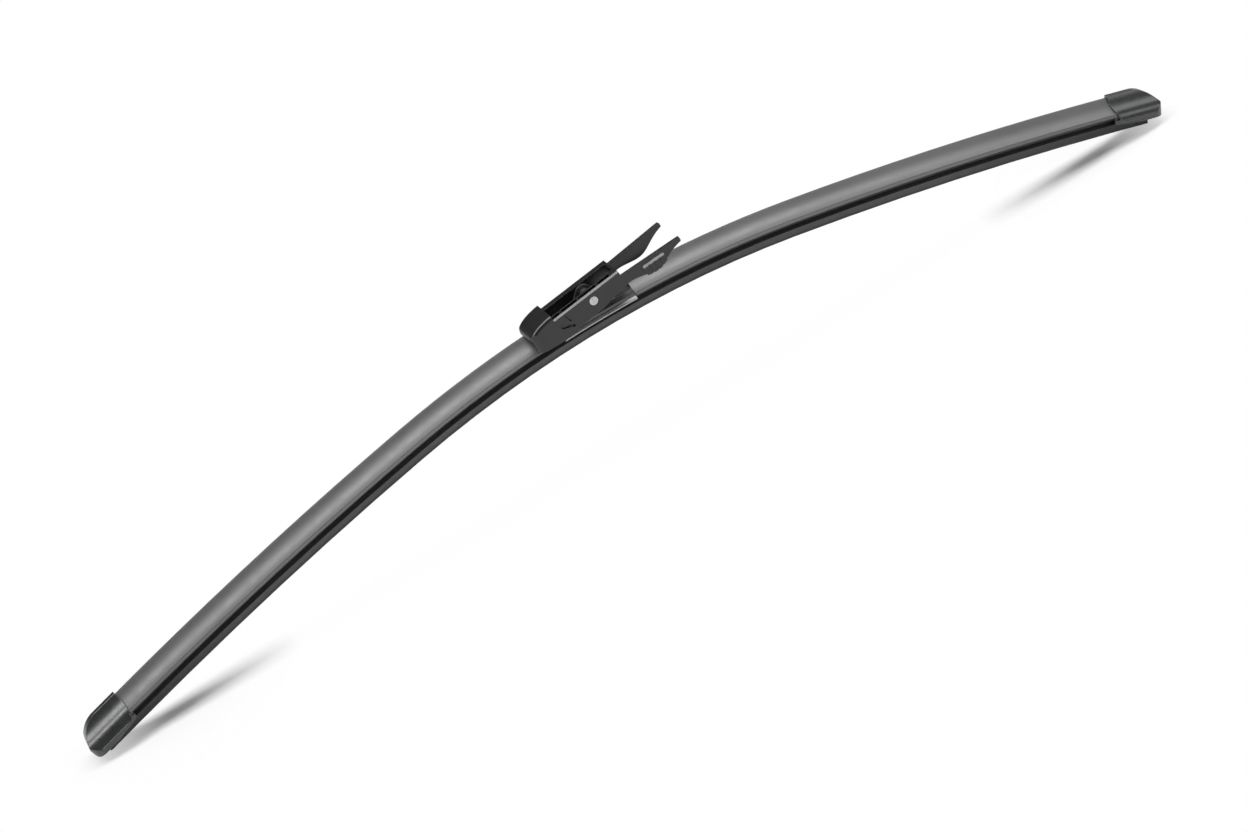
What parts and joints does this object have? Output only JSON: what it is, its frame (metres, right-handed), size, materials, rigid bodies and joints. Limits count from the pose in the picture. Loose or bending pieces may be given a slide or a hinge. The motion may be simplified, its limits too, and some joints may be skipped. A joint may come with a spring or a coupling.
{
  "type": "wiper blade",
  "caption": "Flat bowed windscreen wiper blade: rubber lip under an asymmetric spoiler, moulded end caps, and a rocking pinch-tab adaptor on a riveted saddle that joins it to the arm.",
  "frame": {"origin": "on the pivot axis, midway between the adaptor's walls", "axes": "+X along the blade towards the pinch tabs, +Y towards the steep side of the spoiler, +Z away from the glass"},
  "size_m": [0.596, 0.0272, 0.0826],
  "materials": {
    "rubber": "matte",
    "spoiler": "satin",
    "moulding": "satin",
    "coated_steel": "satin",
    "spring_steel": "brushed",
    "rivet": "satin"
  },
  "bodies": {
    "adaptor": {"adaptor": "moulding"},
    "blade": {"wiper_rubber": "rubber", "spring_rail_front": "spring_steel", "spring_rail_rear": "spring_steel", "spoiler_left": "spoiler", "spoiler_right": "spoiler", "end_cap_left": "moulding", "end_cap_right": "moulding", "connector_base": "coated_steel", "pivot_rivet": "rivet"}
  },
  "joints": [
    {"name": "blade_rock", "type": "hinge", "parent": "adaptor", "child": "blade", "pos_m": [0, 0, 0], "axis": [0, 1, 0], "range_deg": [-18, 0]}
  ]
}
